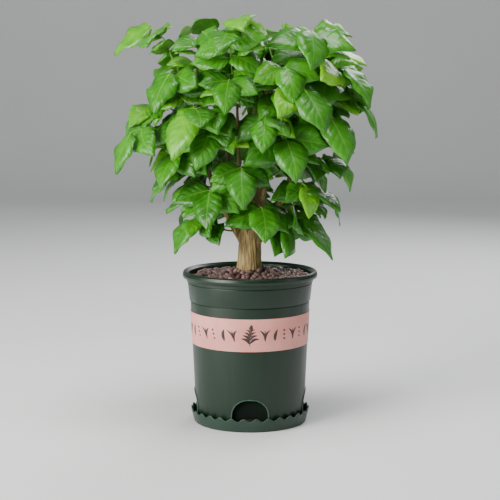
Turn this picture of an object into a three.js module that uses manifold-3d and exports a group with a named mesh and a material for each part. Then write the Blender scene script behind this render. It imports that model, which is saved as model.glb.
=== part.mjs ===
// A potted china doll plant (Radermachera sinica): a stout sawn trunk whose shoots carry a dense crown
// of compound leaves, growing in a dark green nursery pot that stands in a saucer with a wavy edge.
// Millimetres, +Z up. The origin is the centre of the saucer's underside, on the axis of the pot.

import * as THREE from "three";
import { mergeVertices } from "three/addons/utils/BufferGeometryUtils.js";
import Module from "manifold-3d";

const wasm = await Module();
wasm.setup();

// ---------------------------------------------------------------------------------------------------
// Driving dimensions
// ---------------------------------------------------------------------------------------------------

const CLEARANCE = 0.3; // between two pieces that lie against each other
const TURNED_SIDES = 36; // flats round every turned piece, the same on all so that they nest
const OVERRUN = 2; // how far a cutter runs past what it cuts
const TINY = 0.01; // less than this is the same height
const WELD = 1e-4; // less than this is the same point

const SAUCER = {
  footGap: 2.5, // how much wider it is at its foot than the pot
  splay: 4, // how much wider its edge is than its foot
  height: 16.6, // to the middle of the wavy edge
  floor: 3,
  wall: 1.8,
  waves: 30,
  waveHeight: 1.2, // half of crest to trough
  stepsPerWave: 2,
};

const POT = {
  height: 188.7,
  wall: 1.6,
  footRadius: 68.5,
  taper: 6.7, // how much wider the body is at the collar than at the foot
  collarStep: 1, // from the body's top out to the collar
  neckFlare: 2.4, // how much wider the collar is at the neck
  footWidth: 6,
  footHeight: 4,
  collarHeight: 37, // below the rim's top
  neckHeight: 14, // below the rim's top
  neckStep: 0.9,
  rimFlare: 6.4, // from the neck out to the rim
  lipHeight: 8.5,
  lipWidth: 5.4,
  throatHeight: 3, // below the rim's top, where the inside widens to the lip
  drains: 8,
  drainRadius: 4,
  drainCircle: 42,
  drainSides: 10,
};

// The rolled lip's section, from its lower edge up: [inwards over its width, up over its height].
const LIP_SECTION = [
  [0.22, 0],
  [0, 0.4],
  [0.11, 0.8],
  [0.4, 1],
];

// Arched drainage recesses, pressed into the foot of the pot's wall.
const ARCH = {
  count: 4,
  width: 45,
  height: 37,
  cornerRadius: 20,
  cornerSteps: 4,
  depthAtFoot: 6.5, // measured inwards from the wall's foot
  slotWidth: 20,
  slotHeight: 5,
  slotRise: 7,
};

const BAND = { lowEdge: 98, width: 40.5, thickness: 0.5 }; // lowEdge is above the pot's foot

const SOIL = { belowRim: 18 };
const PEBBLES = {
  belowRim: 9,
  mound: 11,
  moundRadius: 46,
  bump: 1.1,
  bumpsRound: 10,
  bumpTurn: 0.7, // radians of the bumps' wave for each millimetre outwards
  rings: 6,
  edgeInset: 1,
};

const TRUNK = {
  buried: 70,
  radius: 14,
  flare: 2.5, // how much wider the root flare is than the trunk
  flareDrop: 4, // the flare's widest part below the rim's top
  flareReach: 13, // how far above and below that it fades
  taperDrop: 20, // below the rim's top, from where the buried part slims down
  endShare: 0.55, // thickness of the buried end over the trunk's
  height: 62, // above the rim's top
  lean: 1, // how far the trunk wanders off the axis
  sides: 12,
  steps: 9,
};

// The leading stem and the shoots that sprout from the sawn trunk.
// azimuth: degrees anticlockwise from +X. reach: how far out the top stands. top: above the rim's top.
const SHOOTS = [
  { azimuth: 15, reach: 8, top: 256, radius: 7.5, rise: 20 },
  { azimuth: 190, reach: 66, top: 250, radius: 4.8, rise: 34 },
  { azimuth: 250, reach: 46, top: 230, radius: 4.2, rise: 28 },
  { azimuth: 302, reach: 50, top: 240, radius: 4.4, rise: 24 },
  { azimuth: 352, reach: 66, top: 250, radius: 4.8, rise: 36 },
  { azimuth: 66, reach: 50, top: 236, radius: 4.2, rise: 26 },
  { azimuth: 128, reach: 54, top: 244, radius: 4.6, rise: 30 },
];
const SHOOT = {
  tipRadius: 1.7,
  rootShare: 0.35, // how far off the axis a shoot starts, over the trunk's radius
  bend: [0.75, 0.38], // two points that it bends through: shares of its reach and of its rise
  ease: [0.94, 0.72],
  sides: 6,
  steps: 6,
};

// The crown's leaves follow one another round the trunk from the top down, spread evenly over an outline.
const CROWN = {
  leaves: 53,
  turn: 137.5, // degrees round the trunk from one leaf to the next
  firstAzimuth: 26,
};

// Where the leaf tips hang: [height above the rim's top, reach to the left, right, front and back].
const OUTLINE = [
  [236, 52, 46, 40, 44],
  [270, 112, 100, 80, 84],
  [264, 158, 144, 104, 108],
  [236, 134, 140, 116, 120],
  [200, 158, 180, 122, 126],
  [170, 204, 156, 124, 130],
  [132, 140, 138, 122, 128],
  [94, 120, 130, 108, 116],
  [54, 112, 118, 90, 100],
  [24, 98, 106, 62, 84],
];

const LEAF = {
  petioleRadius: 1.25,
  rachisRadius: 0.8,
  sides: 3,
  steps: 4,
  pairs: 3, // of leaflets, and one fewer on a short leaf
  shortReach: 88,
  firstPair: 0.4, // share of the stalk's length before the first pair of leaflets
  lastPair: 0.84,
  stagger: 0.02, // half the step along the stalk between the two leaflets of a pair
  leaveOut: 0.3, // how the stalk leaves the shoot, outwards and along it, as shares of its length
  leaveUp: 0.08,
  crest: 0.62, // share of its length where it arches highest
  arch: 0.32, // how far it arches up, as a share of its length
  rootGap: 1.5, // a safe first distance between shoot and stalk, before they close up to the clearance
  drop: 16, // how far above its tip a leaf leaves its shoot
  apart: 9, // least distance between two leaves on the shoots
};

// How a leaf picks the place on a shoot that it grows from: the nearest, level with it and not taken.
const HOLD = { lowest: 0.1, step: 0.02, levelWeight: 1.6, crowdWeight: 6 };

// A leaflet's blade: thin, folded up along its midrib and curling down to its tip.
const BLADE = {
  length: 50,
  lengthSpread: 10,
  thickness: 0.9,
  widthShare: 0.7, // widest part over length
  lowerRow: 0.4, // where the two rows of edge points are, as shares of the length
  upperRow: 0.74,
  upperWidth: 0.66, // width at the upper row over the widest
  fold: 0.3, // rise of the edge over its distance from the midrib
  curl: 0.16, // drop of the tip over the length
  spread: 56, // degrees between a side leaflet and the stalk
  sag: 0.5, // pull of gravity on a leaflet's direction
  facingTop: 0.6, // how much a blade faces outwards, against upwards, at the crown's top
  facingFoot: 1.5, // and at its foot
  towardsLight: 0.5, // how much every blade turns to the front, where the light comes from
  endBack: 0.5, // where the end leaflet begins, back from and above its tip, over its length
  endUp: 0.7,
  firstSize: 0.8, // length of a leaflet at the stalk's foot over the end leaflet's
  lastSize: 0.95, // and at the stalk's end
  leanOut: 0.5, // how much a side leaflet faces away from the stalk
};

// How much one leaflet differs from the next, either way.
const VARIETY = { spread: 7, sag: 0.35, lean: 0.25, length: 0.08 };

const ROOM = 0.7; // free space kept round every leaflet
const ROOM_FROM = 0.16; // share of a leaflet's length, next to its stalk, that needs no free space
const SEARCH_STEPS = 8; // how far a leaf looks for the place where it keeps every leaflet

// ---------------------------------------------------------------------------------------------------
// Sizes that follow from them
// ---------------------------------------------------------------------------------------------------

const POT_FOOT = SAUCER.floor + CLEARANCE;
const RIM_TOP = POT_FOOT + POT.height;
const BODY_TOP_RADIUS = POT.footRadius + POT.taper;
const COLLAR_RADIUS = BODY_TOP_RADIUS + POT.collarStep;
const NECK_RADIUS = COLLAR_RADIUS + POT.neckFlare;
const RIM_RADIUS = NECK_RADIUS + POT.rimFlare;

// ---------------------------------------------------------------------------------------------------
// Helpers
// ---------------------------------------------------------------------------------------------------

const UP = new THREE.Vector3(0, 0, 1);
const FRONT = new THREE.Vector3(0, -1, 0);
const radians = THREE.MathUtils.degToRad;
const mix = THREE.MathUtils.lerp;

const outward = (azimuth) => new THREE.Vector3(Math.cos(radians(azimuth)), Math.sin(radians(azimuth)), 0);

/** A closed geometry as a solid that can be joined and cut. */
function solidOf(geometry) {
  const bare = geometry.clone();
  bare.deleteAttribute("normal");
  bare.deleteAttribute("uv");
  const merged = mergeVertices(bare, WELD);
  return new wasm.Manifold(
    new wasm.Mesh({
      numProp: 3,
      vertProperties: merged.attributes.position.array,
      triVerts: Uint32Array.from(merged.index.array),
    }),
  );
}

/** A solid back as a geometry with flat faces. */
function geometryOf(solid) {
  const mesh = solid.getMesh();
  const positions = new Float32Array(mesh.numVert * 3);
  for (let i = 0; i < mesh.numVert; i++) {
    positions.set(mesh.vertProperties.subarray(i * mesh.numProp, i * mesh.numProp + 3), i * 3);
  }
  const geometry = new THREE.BufferGeometry();
  geometry.setAttribute("position", new THREE.BufferAttribute(positions, 3));
  geometry.setIndex(new THREE.BufferAttribute(Uint32Array.from(mesh.triVerts), 1));
  const flat = geometry.toNonIndexed();
  flat.computeVertexNormals();
  return flat;
}

/** A body turned about +Z from [radius, height] points that start and end on the axis, lowest first. */
function turned(profile, sides = TURNED_SIDES) {
  const points = profile.map(([radius, height]) => new THREE.Vector2(radius, height));
  return new THREE.LatheGeometry(points, sides).rotateX(Math.PI / 2);
}

/** A rod along a curve, closed at both ends, whose radius follows its length. */
function rod(curve, radiusAt, sides, steps) {
  const geometry = new THREE.CylinderGeometry(1, 1, 1, sides, steps);
  const frames = curve.computeFrenetFrames(steps, false);
  const position = geometry.attributes.position;
  for (let i = 0; i < position.count; i++) {
    const along = position.getY(i) + 0.5;
    const frame = Math.round(along * steps);
    const radius = radiusAt(along);
    const point = curve
      .getPointAt(along)
      .addScaledVector(frames.normals[frame], position.getX(i) * radius)
      .addScaledVector(frames.binormals[frame], -position.getZ(i) * radius);
    position.setXYZ(i, point.x, point.y, point.z);
  }
  return geometry;
}

/** The point on the straight steps of a rod along a curve, which cut the curve's corners. */
function pointInRod(curve, along, steps) {
  const step = Math.min(Math.floor(along * steps), steps - 1);
  const start = curve.getPointAt(step / steps);
  return start.lerp(curve.getPointAt((step + 1) / steps), along * steps - step);
}

/** Numbers between -1 and 1 that look random and come out the same every time. */
function shaker(seed) {
  let state = seed * 2654435761;
  return () => {
    state = (state + 0x6d2b79f5) | 0;
    let t = Math.imul(state ^ (state >>> 15), 1 | state);
    t = (t + Math.imul(t ^ (t >>> 7), 61 | t)) ^ t;
    return (((t ^ (t >>> 14)) >>> 0) / 4294967296) * 2 - 1;
  };
}

// ---------------------------------------------------------------------------------------------------
// Materials
// ---------------------------------------------------------------------------------------------------

const paint = (color, roughness) =>
  new THREE.MeshStandardMaterial({ color, roughness, metalness: 0 });

const FINISH = {
  pot: paint(0x24382b, 0.38),
  saucer: paint(0x4f6656, 0.42),
  band: paint(0xe9bdb4, 0.6),
  soil: paint(0x2c211b, 0.95),
  pebbles: paint(0x5e4740, 0.85),
  wood: paint(0x8d7650, 0.85),
  leaf: paint(0x3c8a17, 0.35),
};

const plant = new THREE.Group();

function add(name, geometry, material) {
  const mesh = new THREE.Mesh(geometry, material);
  mesh.name = name;
  plant.add(mesh);
  return mesh;
}

// ---------------------------------------------------------------------------------------------------
// Saucer
// ---------------------------------------------------------------------------------------------------

function saucerGeometry() {
  const { height, floor, wall, waves, waveHeight, stepsPerWave } = SAUCER;
  const footRadius = POT.footRadius + SAUCER.footGap;
  const edgeRadius = footRadius + SAUCER.splay;
  const geometry = turned(
    [
      [0, 0],
      [footRadius, 0],
      [edgeRadius, height],
      [edgeRadius - wall, height],
      [footRadius - wall, floor],
      [0, floor],
    ],
    waves * stepsPerWave,
  );
  const position = geometry.attributes.position;
  for (let i = 0; i < position.count; i++) {
    const angle = Math.atan2(position.getY(i), position.getX(i));
    if (position.getZ(i) > height - TINY) {
      position.setZ(i, height + waveHeight * Math.cos(angle * waves));
    }
  }
  return geometry;
}

add("saucer", saucerGeometry(), FINISH.saucer);

// ---------------------------------------------------------------------------------------------------
// Pot
// ---------------------------------------------------------------------------------------------------

/** The radius of the pot's outer wall at a height above its foot, up to the collar. */
function bodyRadius(height) {
  return mix(POT.footRadius, BODY_TOP_RADIUS, height / (POT.height - POT.collarHeight));
}

/** A block the shape of an arched recess, grown all round by a margin. */
function archBlock(azimuth, margin) {
  const half = ARCH.width / 2 + margin;
  const top = ARCH.height + margin;
  const corner = ARCH.cornerRadius + margin;
  const outline = new THREE.Shape();
  outline.moveTo(-half, -OVERRUN);
  outline.lineTo(half, -OVERRUN);
  outline.lineTo(half, top - corner);
  outline.absarc(half - corner, top - corner, corner, 0, Math.PI / 2, false);
  outline.absarc(-half + corner, top - corner, corner, Math.PI / 2, Math.PI, false);
  outline.closePath();
  const inner = POT.footRadius - ARCH.depthAtFoot - margin;
  const block = new THREE.ExtrudeGeometry(outline, {
    depth: RIM_RADIUS - inner,
    bevelEnabled: false,
    curveSegments: ARCH.cornerSteps,
  });
  block.rotateX(Math.PI / 2);
  block.translate(0, -inner, 0);
  return block.rotateZ(radians(azimuth + 90));
}

const archAzimuths = Array.from({ length: ARCH.count }, (_, i) => -90 + (i * 360) / ARCH.count);

/** What the pot's inside and its filling are cut from: the same arches, standing in from the wall. */
function withoutArches(solid, margin) {
  return archAzimuths.reduce((rest, azimuth) => rest.subtract(solidOf(archBlock(azimuth, margin))), solid);
}

function potOutside() {
  const { height, footRadius, footWidth, footHeight, lipHeight, lipWidth } = POT;
  const neck = height - POT.neckHeight;
  const lip = height - lipHeight;
  return turned([
    [0, footHeight],
    [footRadius - footWidth - footHeight, footHeight],
    [footRadius - footWidth, 0],
    [footRadius, 0],
    [BODY_TOP_RADIUS, height - POT.collarHeight],
    [COLLAR_RADIUS, height - POT.collarHeight],
    [NECK_RADIUS, neck],
    [NECK_RADIUS + POT.neckStep, neck],
    [NECK_RADIUS + POT.neckStep, lip],
    ...LIP_SECTION.map(([inwards, up]) => [RIM_RADIUS - inwards * lipWidth, lip + up * lipHeight]),
    [0, height],
  ]);
}

function potInside(shrink) {
  const { height, footRadius, footHeight, wall } = POT;
  const floor = footHeight + wall + shrink;
  const inset = wall + shrink;
  const collar = height - POT.collarHeight;
  return turned([
    [0, floor],
    [mix(footRadius, BODY_TOP_RADIUS, floor / collar) - inset, floor],
    [BODY_TOP_RADIUS - inset, collar],
    [NECK_RADIUS - inset, height - POT.neckHeight],
    [NECK_RADIUS - inset, height - POT.throatHeight],
    [RIM_RADIUS - POT.lipWidth - shrink, height],
    [RIM_RADIUS - POT.lipWidth - shrink, height + OVERRUN],
    [0, height + OVERRUN],
  ]);
}

/** Round holes in the floor and one slot low in each arch, for water to leave by. */
function drains() {
  const cutters = [];
  for (let i = 0; i < POT.drains; i++) {
    const at = outward(((i + 0.5) * 360) / POT.drains).multiplyScalar(POT.drainCircle);
    const depth = 2 * (POT.footHeight + POT.wall + OVERRUN);
    const hole = new THREE.CylinderGeometry(POT.drainRadius, POT.drainRadius, depth, POT.drainSides);
    cutters.push(hole.rotateX(Math.PI / 2).translate(at.x, at.y, 0));
  }
  const wallAt = POT.footRadius - ARCH.depthAtFoot;
  for (const azimuth of archAzimuths) {
    const slot = new THREE.BoxGeometry(POT.wall + 2 * OVERRUN, ARCH.slotWidth, ARCH.slotHeight);
    slot.translate(wallAt - POT.wall / 2, 0, ARCH.slotRise + ARCH.slotHeight / 2);
    cutters.push(slot.rotateZ(radians(azimuth)));
  }
  return cutters;
}

function potGeometry() {
  const outside = withoutArches(solidOf(potOutside()), 0);
  const inside = withoutArches(solidOf(potInside(0)), POT.wall);
  const shell = outside.subtract(inside);
  return geometryOf(drains().reduce((rest, cutter) => rest.subtract(solidOf(cutter)), shell));
}

add("pot", potGeometry(), FINISH.pot).position.z = POT_FOOT;

// ---------------------------------------------------------------------------------------------------
// Printed band round the pot
// ---------------------------------------------------------------------------------------------------

function bandGeometry() {
  const { lowEdge, width, thickness } = BAND;
  const low = bodyRadius(lowEdge) + CLEARANCE;
  const high = bodyRadius(lowEdge + width) + CLEARANCE;
  return turned([
    [low, lowEdge],
    [low + thickness, lowEdge],
    [high + thickness, lowEdge + width],
    [high, lowEdge + width],
    [low, lowEdge],
  ]);
}

add("label_band", bandGeometry(), FINISH.band).position.z = POT_FOOT;

// ---------------------------------------------------------------------------------------------------
// Trunk and shoots, one grown piece
// ---------------------------------------------------------------------------------------------------

const TRUNK_TOP = RIM_TOP + TRUNK.height;

function trunkCurve() {
  return new THREE.CatmullRomCurve3([
    new THREE.Vector3(-TRUNK.lean, TRUNK.lean, RIM_TOP - TRUNK.buried),
    new THREE.Vector3(-TRUNK.lean, 0, RIM_TOP),
    new THREE.Vector3(0, 0, RIM_TOP + TRUNK.height / 2),
    new THREE.Vector3(TRUNK.lean, 0, TRUNK_TOP),
  ]);
}

/** Wider where the roots spread, and slimmer again down in the soil. */
function trunkRadius(along) {
  const height = mix(-TRUNK.buried, TRUNK.height, along);
  const flare = TRUNK.flare * Math.exp(-(((height + TRUNK.flareDrop) / TRUNK.flareReach) ** 2));
  const buried = Math.max(0, -TRUNK.taperDrop - height) / (TRUNK.buried - TRUNK.taperDrop);
  return (TRUNK.radius + flare) * mix(1, TRUNK.endShare, buried);
}

function shootCurve({ azimuth, reach, top, rise }) {
  const out = outward(azimuth);
  const start = out.clone().multiplyScalar(TRUNK.radius * SHOOT.rootShare).setZ(TRUNK_TOP - rise);
  const end = out.clone().multiplyScalar(reach).setZ(RIM_TOP + top);
  const [bend, ease] = [SHOOT.bend, SHOOT.ease].map(([away, up]) =>
    out.clone().multiplyScalar(reach * away).setZ(mix(start.z, end.z, up)),
  );
  return new THREE.CatmullRomCurve3([start, bend, ease, end], false, "centripetal");
}

const shoots = SHOOTS.map((shoot) => ({
  ...shoot,
  curve: shootCurve(shoot),
  radiusAt: (along) => mix(shoot.radius, SHOOT.tipRadius, along),
}));

const trunkSolid = solidOf(rod(trunkCurve(), trunkRadius, TRUNK.sides, TRUNK.steps));
const woodSolids = [
  trunkSolid,
  ...shoots.map((shoot) => solidOf(rod(shoot.curve, shoot.radiusAt, SHOOT.sides, SHOOT.steps))),
];
const wood = woodSolids.reduce((whole, piece) => whole.add(piece));

add("trunk_and_shoots", geometryOf(wood), FINISH.wood);

// ---------------------------------------------------------------------------------------------------
// Soil, and the layer of clay pebbles on top of it
// ---------------------------------------------------------------------------------------------------

/** A slightly larger trunk, which leaves the clearance round the real one. */
function trunkRoom() {
  const wider = (along) => trunkRadius(along) + 2 * CLEARANCE;
  const round = solidOf(rod(trunkCurve(), wider, TRUNK.sides, TRUNK.steps));
  const below = new THREE.CylinderGeometry(wider(0), wider(0), OVERRUN, TRUNK.sides).rotateX(Math.PI / 2);
  below.translate(-TRUNK.lean, TRUNK.lean, RIM_TOP - TRUNK.buried);
  return round.add(solidOf(below));
}

function soilGeometry() {
  const surface = POT.height - SOIL.belowRim;
  const fill = solidOf(potInside(CLEARANCE));
  const above = turned([
    [0, surface],
    [RIM_RADIUS, surface],
    [RIM_RADIUS, POT.height + 2 * OVERRUN],
    [0, POT.height + 2 * OVERRUN],
  ]);
  const level = fill.subtract(solidOf(above));
  const packed = withoutArches(level, POT.wall + CLEARANCE).translate([0, 0, POT_FOOT]);
  return geometryOf(packed.subtract(trunkRoom()));
}

add("soil", soilGeometry(), FINISH.soil);

/** Height of the pebbles' surface over their edge: a low mound round the trunk. */
function moundAt(radius) {
  const share = Math.min(radius / PEBBLES.moundRadius, 1);
  return PEBBLES.mound * (1 - share * share) ** 2;
}

function pebbleGeometry() {
  const low = RIM_TOP - SOIL.belowRim + CLEARANCE;
  const edge = RIM_TOP - PEBBLES.belowRim;
  const outer = NECK_RADIUS - POT.wall - 3 * CLEARANCE;
  const profile = [
    [0, low],
    [outer - PEBBLES.edgeInset, low],
    [outer, edge - PEBBLES.edgeInset],
  ];
  for (let ring = PEBBLES.rings; ring >= 0; ring--) {
    const radius = (outer - PEBBLES.edgeInset) * (ring / PEBBLES.rings);
    profile.push([radius, edge + moundAt(radius)]);
  }
  const geometry = turned(profile);
  const position = geometry.attributes.position;
  for (let i = 0; i < position.count; i++) {
    const radius = Math.hypot(position.getX(i), position.getY(i));
    const height = position.getZ(i);
    const angle = Math.atan2(position.getY(i), position.getX(i));
    const bump = Math.sin(angle * PEBBLES.bumpsRound + radius) * Math.cos(radius * PEBBLES.bumpTurn);
    if (height > edge - TINY && radius > TINY) {
      position.setZ(i, height + PEBBLES.bump * bump);
    }
  }
  return geometryOf(solidOf(geometry).subtract(trunkRoom()));
}

add("clay_pebbles", pebbleGeometry(), FINISH.pebbles);

// ---------------------------------------------------------------------------------------------------
// Leaves
// ---------------------------------------------------------------------------------------------------

/** A leaflet's own axes: along its midrib, across it, and out of its upper face. */
function leafletFrame(direction, faceTo) {
  const along = direction.clone().normalize();
  const face = faceTo.clone().addScaledVector(along, -faceTo.dot(along)).normalize();
  return { along, face, across: face.clone().cross(along) };
}

/**
 * A blade from its base to its tip. Both faces are the same surface, set the thickness apart, so every
 * point on the upper face has its twin straight below it. grow widens it all round, and from leaves
 * out that share of its length next to the stalk.
 */
function bladeGeometry(base, frame, length, grow = 0, from = 0) {
  const half = (length * BLADE.widthShare) / 2;
  const place = (share, side, face) => {
    const lift = -BLADE.curl * length * share * share + BLADE.fold * Math.abs(side);
    return base
      .clone()
      .addScaledVector(frame.along, length * share + (share === 1 ? grow : 0))
      .addScaledVector(frame.across, side + Math.sign(side) * grow)
      .addScaledVector(frame.face, lift + face * (BLADE.thickness / 2 + grow));
  };
  const points = [1, -1].flatMap((face) => [
    place(from, 0, face),
    place(BLADE.lowerRow, -half, face),
    place(BLADE.lowerRow, 0, face),
    place(BLADE.lowerRow, half, face),
    place(BLADE.upperRow, -half * BLADE.upperWidth, face),
    place(BLADE.upperRow, half * BLADE.upperWidth, face),
    place(1, 0, face),
  ]);
  // Each triangle of the upper face, and the points round the edge.
  const upper = [
    [0, 1, 2],
    [0, 2, 3],
    [1, 4, 2],
    [2, 5, 3],
    [4, 6, 2],
    [6, 5, 2],
  ];
  const edge = [0, 3, 5, 6, 4, 1];
  const twin = points.length / 2;
  const faces = [];
  for (const [a, b, c] of upper) {
    faces.push(a, b, c, a + twin, c + twin, b + twin);
  }
  edge.forEach((a, i) => {
    const b = edge[(i + 1) % edge.length];
    faces.push(a, b, a + twin, b, b + twin, a + twin);
  });
  const geometry = new THREE.BufferGeometry().setFromPoints(points);
  geometry.setIndex(faces);
  return geometry;
}

const boxOf = (solid) => {
  const { min, max } = solid.boundingBox();
  return new THREE.Box3(new THREE.Vector3(...min), new THREE.Vector3(...max));
};

/** Everything that a new leaflet must stay clear of. */
const occupied = [];
const occupy = (solid) => occupied.push({ solid, box: boxOf(solid) });
woodSolids.forEach(occupy);
const potMouth = [
  [0, RIM_TOP - POT.lipHeight],
  [RIM_RADIUS, RIM_TOP - POT.lipHeight],
  [RIM_RADIUS, RIM_TOP + ROOM],
  [0, RIM_TOP + ROOM],
];
occupy(solidOf(turned(potMouth)));

function isClear(solid, others) {
  const box = boxOf(solid);
  return !others.some((other) => box.intersectsBox(other.box) && !solid.intersect(other.solid).isEmpty());
}

/** Where on the shoots leaves already grow. */
const nodesTaken = [];

/** How much the leaves already growing near a point are in the way of one more. */
function crowding(point) {
  return nodesTaken.reduce((sum, taken) => sum + Math.max(0, LEAF.apart - taken.distanceTo(point)), 0);
}

/** The shoot that a leaf with this tip grows from, and how far along it. */
function holdingShoot(tip) {
  let best = null;
  for (const shoot of shoots) {
    for (let along = HOLD.lowest; along < 1; along += HOLD.step) {
      const point = shoot.curve.getPointAt(along);
      const level = Math.abs(point.z - tip.z - LEAF.drop);
      const away = Math.hypot(point.x - tip.x, point.y - tip.y);
      const cost = away + HOLD.levelWeight * level + HOLD.crowdWeight * crowding(point);
      if (!best || cost < best.cost) {
        best = { shoot, along, point, cost };
      }
    }
  }
  return best;
}

/** The stalk's curve, from beside the shoot, up and over, and down to where the end leaflet begins. */
function stalkCurve(hold, tip, end, inwards) {
  const axis = hold.shoot.curve.getTangentAt(hold.along);
  const out = tip.clone().sub(hold.point);
  out.addScaledVector(axis, -out.dot(axis)).normalize();
  const away = hold.shoot.radiusAt(hold.along) + LEAF.rootGap - inwards;
  const start = hold.point.clone().addScaledVector(out, away);
  const length = start.distanceTo(end);
  const leave = start.clone().addScaledVector(out, length * LEAF.leaveOut);
  leave.addScaledVector(axis, length * LEAF.leaveUp);
  const crest = start.clone().lerp(end, LEAF.crest).addScaledVector(UP, length * LEAF.arch);
  return new THREE.CubicBezierCurve3(start, leave, crest, end);
}

// How a leaflet may turn to find free space: [degrees about its face, about its midrib, lift].
const TURNS = [
  [0, 0, 0],
  [8, 12, 0.1],
  [-8, -12, 0.1],
  [14, 0, -0.2],
  [-14, 0, -0.2],
  [0, 26, 0.25],
  [0, -26, 0.25],
  [22, 18, 0.35],
  [-22, -18, 0.35],
  [26, -20, -0.35],
  [-26, 20, -0.35],
  [0, 0, 0.6],
  [0, 0, -0.6],
];

/** How a whole leaf may shift to find free space: [degrees round the trunk, millimetres up]. */
const shiftsOf = (size) => [
  [6 * size, 3 * size],
  [-6 * size, 3 * size],
  [0, 9 * size],
  [4 * size, -7 * size],
  [-4 * size, -7 * size],
];

/** One leaflet, turned until it is clear of everything, or null. */
function placeLeaflet(base, direction, faceTo, length, ownLeaflets) {
  for (const [yaw, roll, lift] of TURNS) {
    const heading = direction
      .clone()
      .applyAxisAngle(faceTo.clone().normalize(), radians(yaw))
      .addScaledVector(UP, lift)
      .normalize();
    const facing = faceTo.clone().applyAxisAngle(heading, radians(roll));
    const frame = leafletFrame(heading, facing);
    const probe = solidOf(bladeGeometry(base, frame, length, ROOM, ROOM_FROM));
    const solid = solidOf(bladeGeometry(base, frame, length));
    if (isClear(probe, occupied) && isClear(probe, ownLeaflets) && isClear(solid, occupied)) {
      return { solid, probe };
    }
  }
  return null;
}

/** All of one leaf at one place: its stalk and the leaflets that found room. */
function growLeaf({ azimuth, reach, height, share }, [turn, climb], shake) {
  const blade = BLADE.length + BLADE.lengthSpread * shake();
  const pairs = reach < LEAF.shortReach ? LEAF.pairs - 1 : LEAF.pairs;
  const out = outward(azimuth + turn);
  const tip = out.clone().multiplyScalar(reach).setZ(RIM_TOP + height + climb);
  const hold = holdingShoot(tip);
  const end = tip.clone().addScaledVector(out, -blade * BLADE.endBack);
  end.addScaledVector(UP, blade * BLADE.endUp);
  const radiusAt = (along) => mix(LEAF.petioleRadius, LEAF.rachisRadius, along);
  const stalkFrom = (path) => solidOf(rod(path, radiusAt, LEAF.sides, LEAF.steps));
  const gap = stalkFrom(stalkCurve(hold, tip, end, 0)).minGap(wood, LEAF.drop);
  const curve = stalkCurve(hold, tip, end, Math.max(0, gap - CLEARANCE));
  const stalk = stalkFrom(curve);
  if (!isClear(stalk, occupied)) {
    return null;
  }

  const faceTo = out
    .clone()
    .multiplyScalar(mix(BLADE.facingTop, BLADE.facingFoot, share))
    .addScaledVector(FRONT, BLADE.towardsLight)
    .add(UP);
  const leaflets = [];
  const own = [];
  const place = (along, spread, length) => {
    const base = pointInRod(curve, along, LEAF.steps);
    const tangent = curve.getTangentAt(along);
    const sideways = UP.clone().cross(tangent).normalize();
    const angle = radians(spread + VARIETY.spread * shake() * Math.sign(spread));
    const direction = tangent
      .clone()
      .multiplyScalar(Math.cos(angle))
      .addScaledVector(sideways, Math.sin(angle))
      .addScaledVector(UP, -BLADE.sag * (1 + VARIETY.sag * shake()))
      .normalize();
    const lean = BLADE.leanOut * Math.sin(angle) + VARIETY.lean * shake();
    const facing = faceTo.clone().addScaledVector(sideways, lean);
    const placed = placeLeaflet(base, direction, facing, length * (1 + VARIETY.length * shake()), own);
    if (placed) {
      leaflets.push(placed.solid);
      own.push({ solid: placed.probe, box: boxOf(placed.probe) });
    }
    return placed;
  };
  if (!place(1, 0, blade)) {
    return null;
  }
  for (let pair = pairs - 1; pair >= 0; pair--) {
    const along = mix(LEAF.firstPair, LEAF.lastPair, pair / (pairs - 1));
    const length = blade * mix(BLADE.firstSize, BLADE.lastSize, along);
    place(along + LEAF.stagger, BLADE.spread, length);
    place(along - LEAF.stagger, -BLADE.spread, length);
  }
  return { stalk, leaflets, wanted: 1 + 2 * pairs, node: hold.point };
}

/** The first place at which a leaf keeps every leaflet, or else the one where it keeps most. */
function settleLeaf(row, seed) {
  let best = null;
  for (let size = 0; !best || size <= SEARCH_STEPS; size++) {
    for (const shift of size === 0 ? [[0, 0]] : shiftsOf(size)) {
      const leaf = growLeaf(row, shift, shaker(seed));
      if (leaf && (!best || leaf.leaflets.length > best.leaflets.length)) {
        best = leaf;
      }
      if (best && best.leaflets.length === best.wanted) {
        return best;
      }
    }
  }
  return best;
}

/** The outline at a share of its area from the top down: its height, and its reach at an azimuth. */
function outlineAt(share) {
  const size = (row) => (row[1] + row[2] + row[3] + row[4]) / 4;
  const steps = OUTLINE.slice(1).map((row, i) => {
    const before = OUTLINE[i];
    const slope = Math.hypot(row[0] - before[0], size(row) - size(before));
    return { before, row, area: (slope * (size(row) + size(before))) / 2 };
  });
  let left = share * steps.reduce((sum, step) => sum + step.area, 0);
  let step = steps.shift();
  while (left > step.area && steps.length > 0) {
    left -= step.area;
    step = steps.shift();
  }
  const between = (value, i) => mix(step.before[i], value, left / step.area);
  const [height, west, east, front, back] = step.row.map(between);
  const reachAt = (azimuth) => {
    const out = outward(azimuth);
    return (out.x < 0 ? west : east) * out.x ** 2 + (out.y < 0 ? front : back) * out.y ** 2;
  };
  return { height, reachAt };
}

for (let i = 0; i < CROWN.leaves; i++) {
  const share = (i + 0.5) / CROWN.leaves;
  const azimuth = CROWN.firstAzimuth + i * CROWN.turn;
  const { height, reachAt } = outlineAt(share);
  const leaf = settleLeaf({ azimuth, height, reach: reachAt(azimuth), share }, i + 1);
  const whole = leaf.leaflets.reduce((sum, leaflet) => sum.add(leaflet), leaf.stalk);
  leaf.leaflets.forEach(occupy);
  occupy(leaf.stalk);
  nodesTaken.push(leaf.node);
  add(`leaf_${String(i + 1).padStart(2, "0")}`, geometryOf(whole), FINISH.leaf);
}

export default plant;
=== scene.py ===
"""A potted china doll plant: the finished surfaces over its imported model.

Metres, +Z up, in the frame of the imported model: the origin is the centre of the saucer's underside.
"""

import itertools
import math
import random

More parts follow.
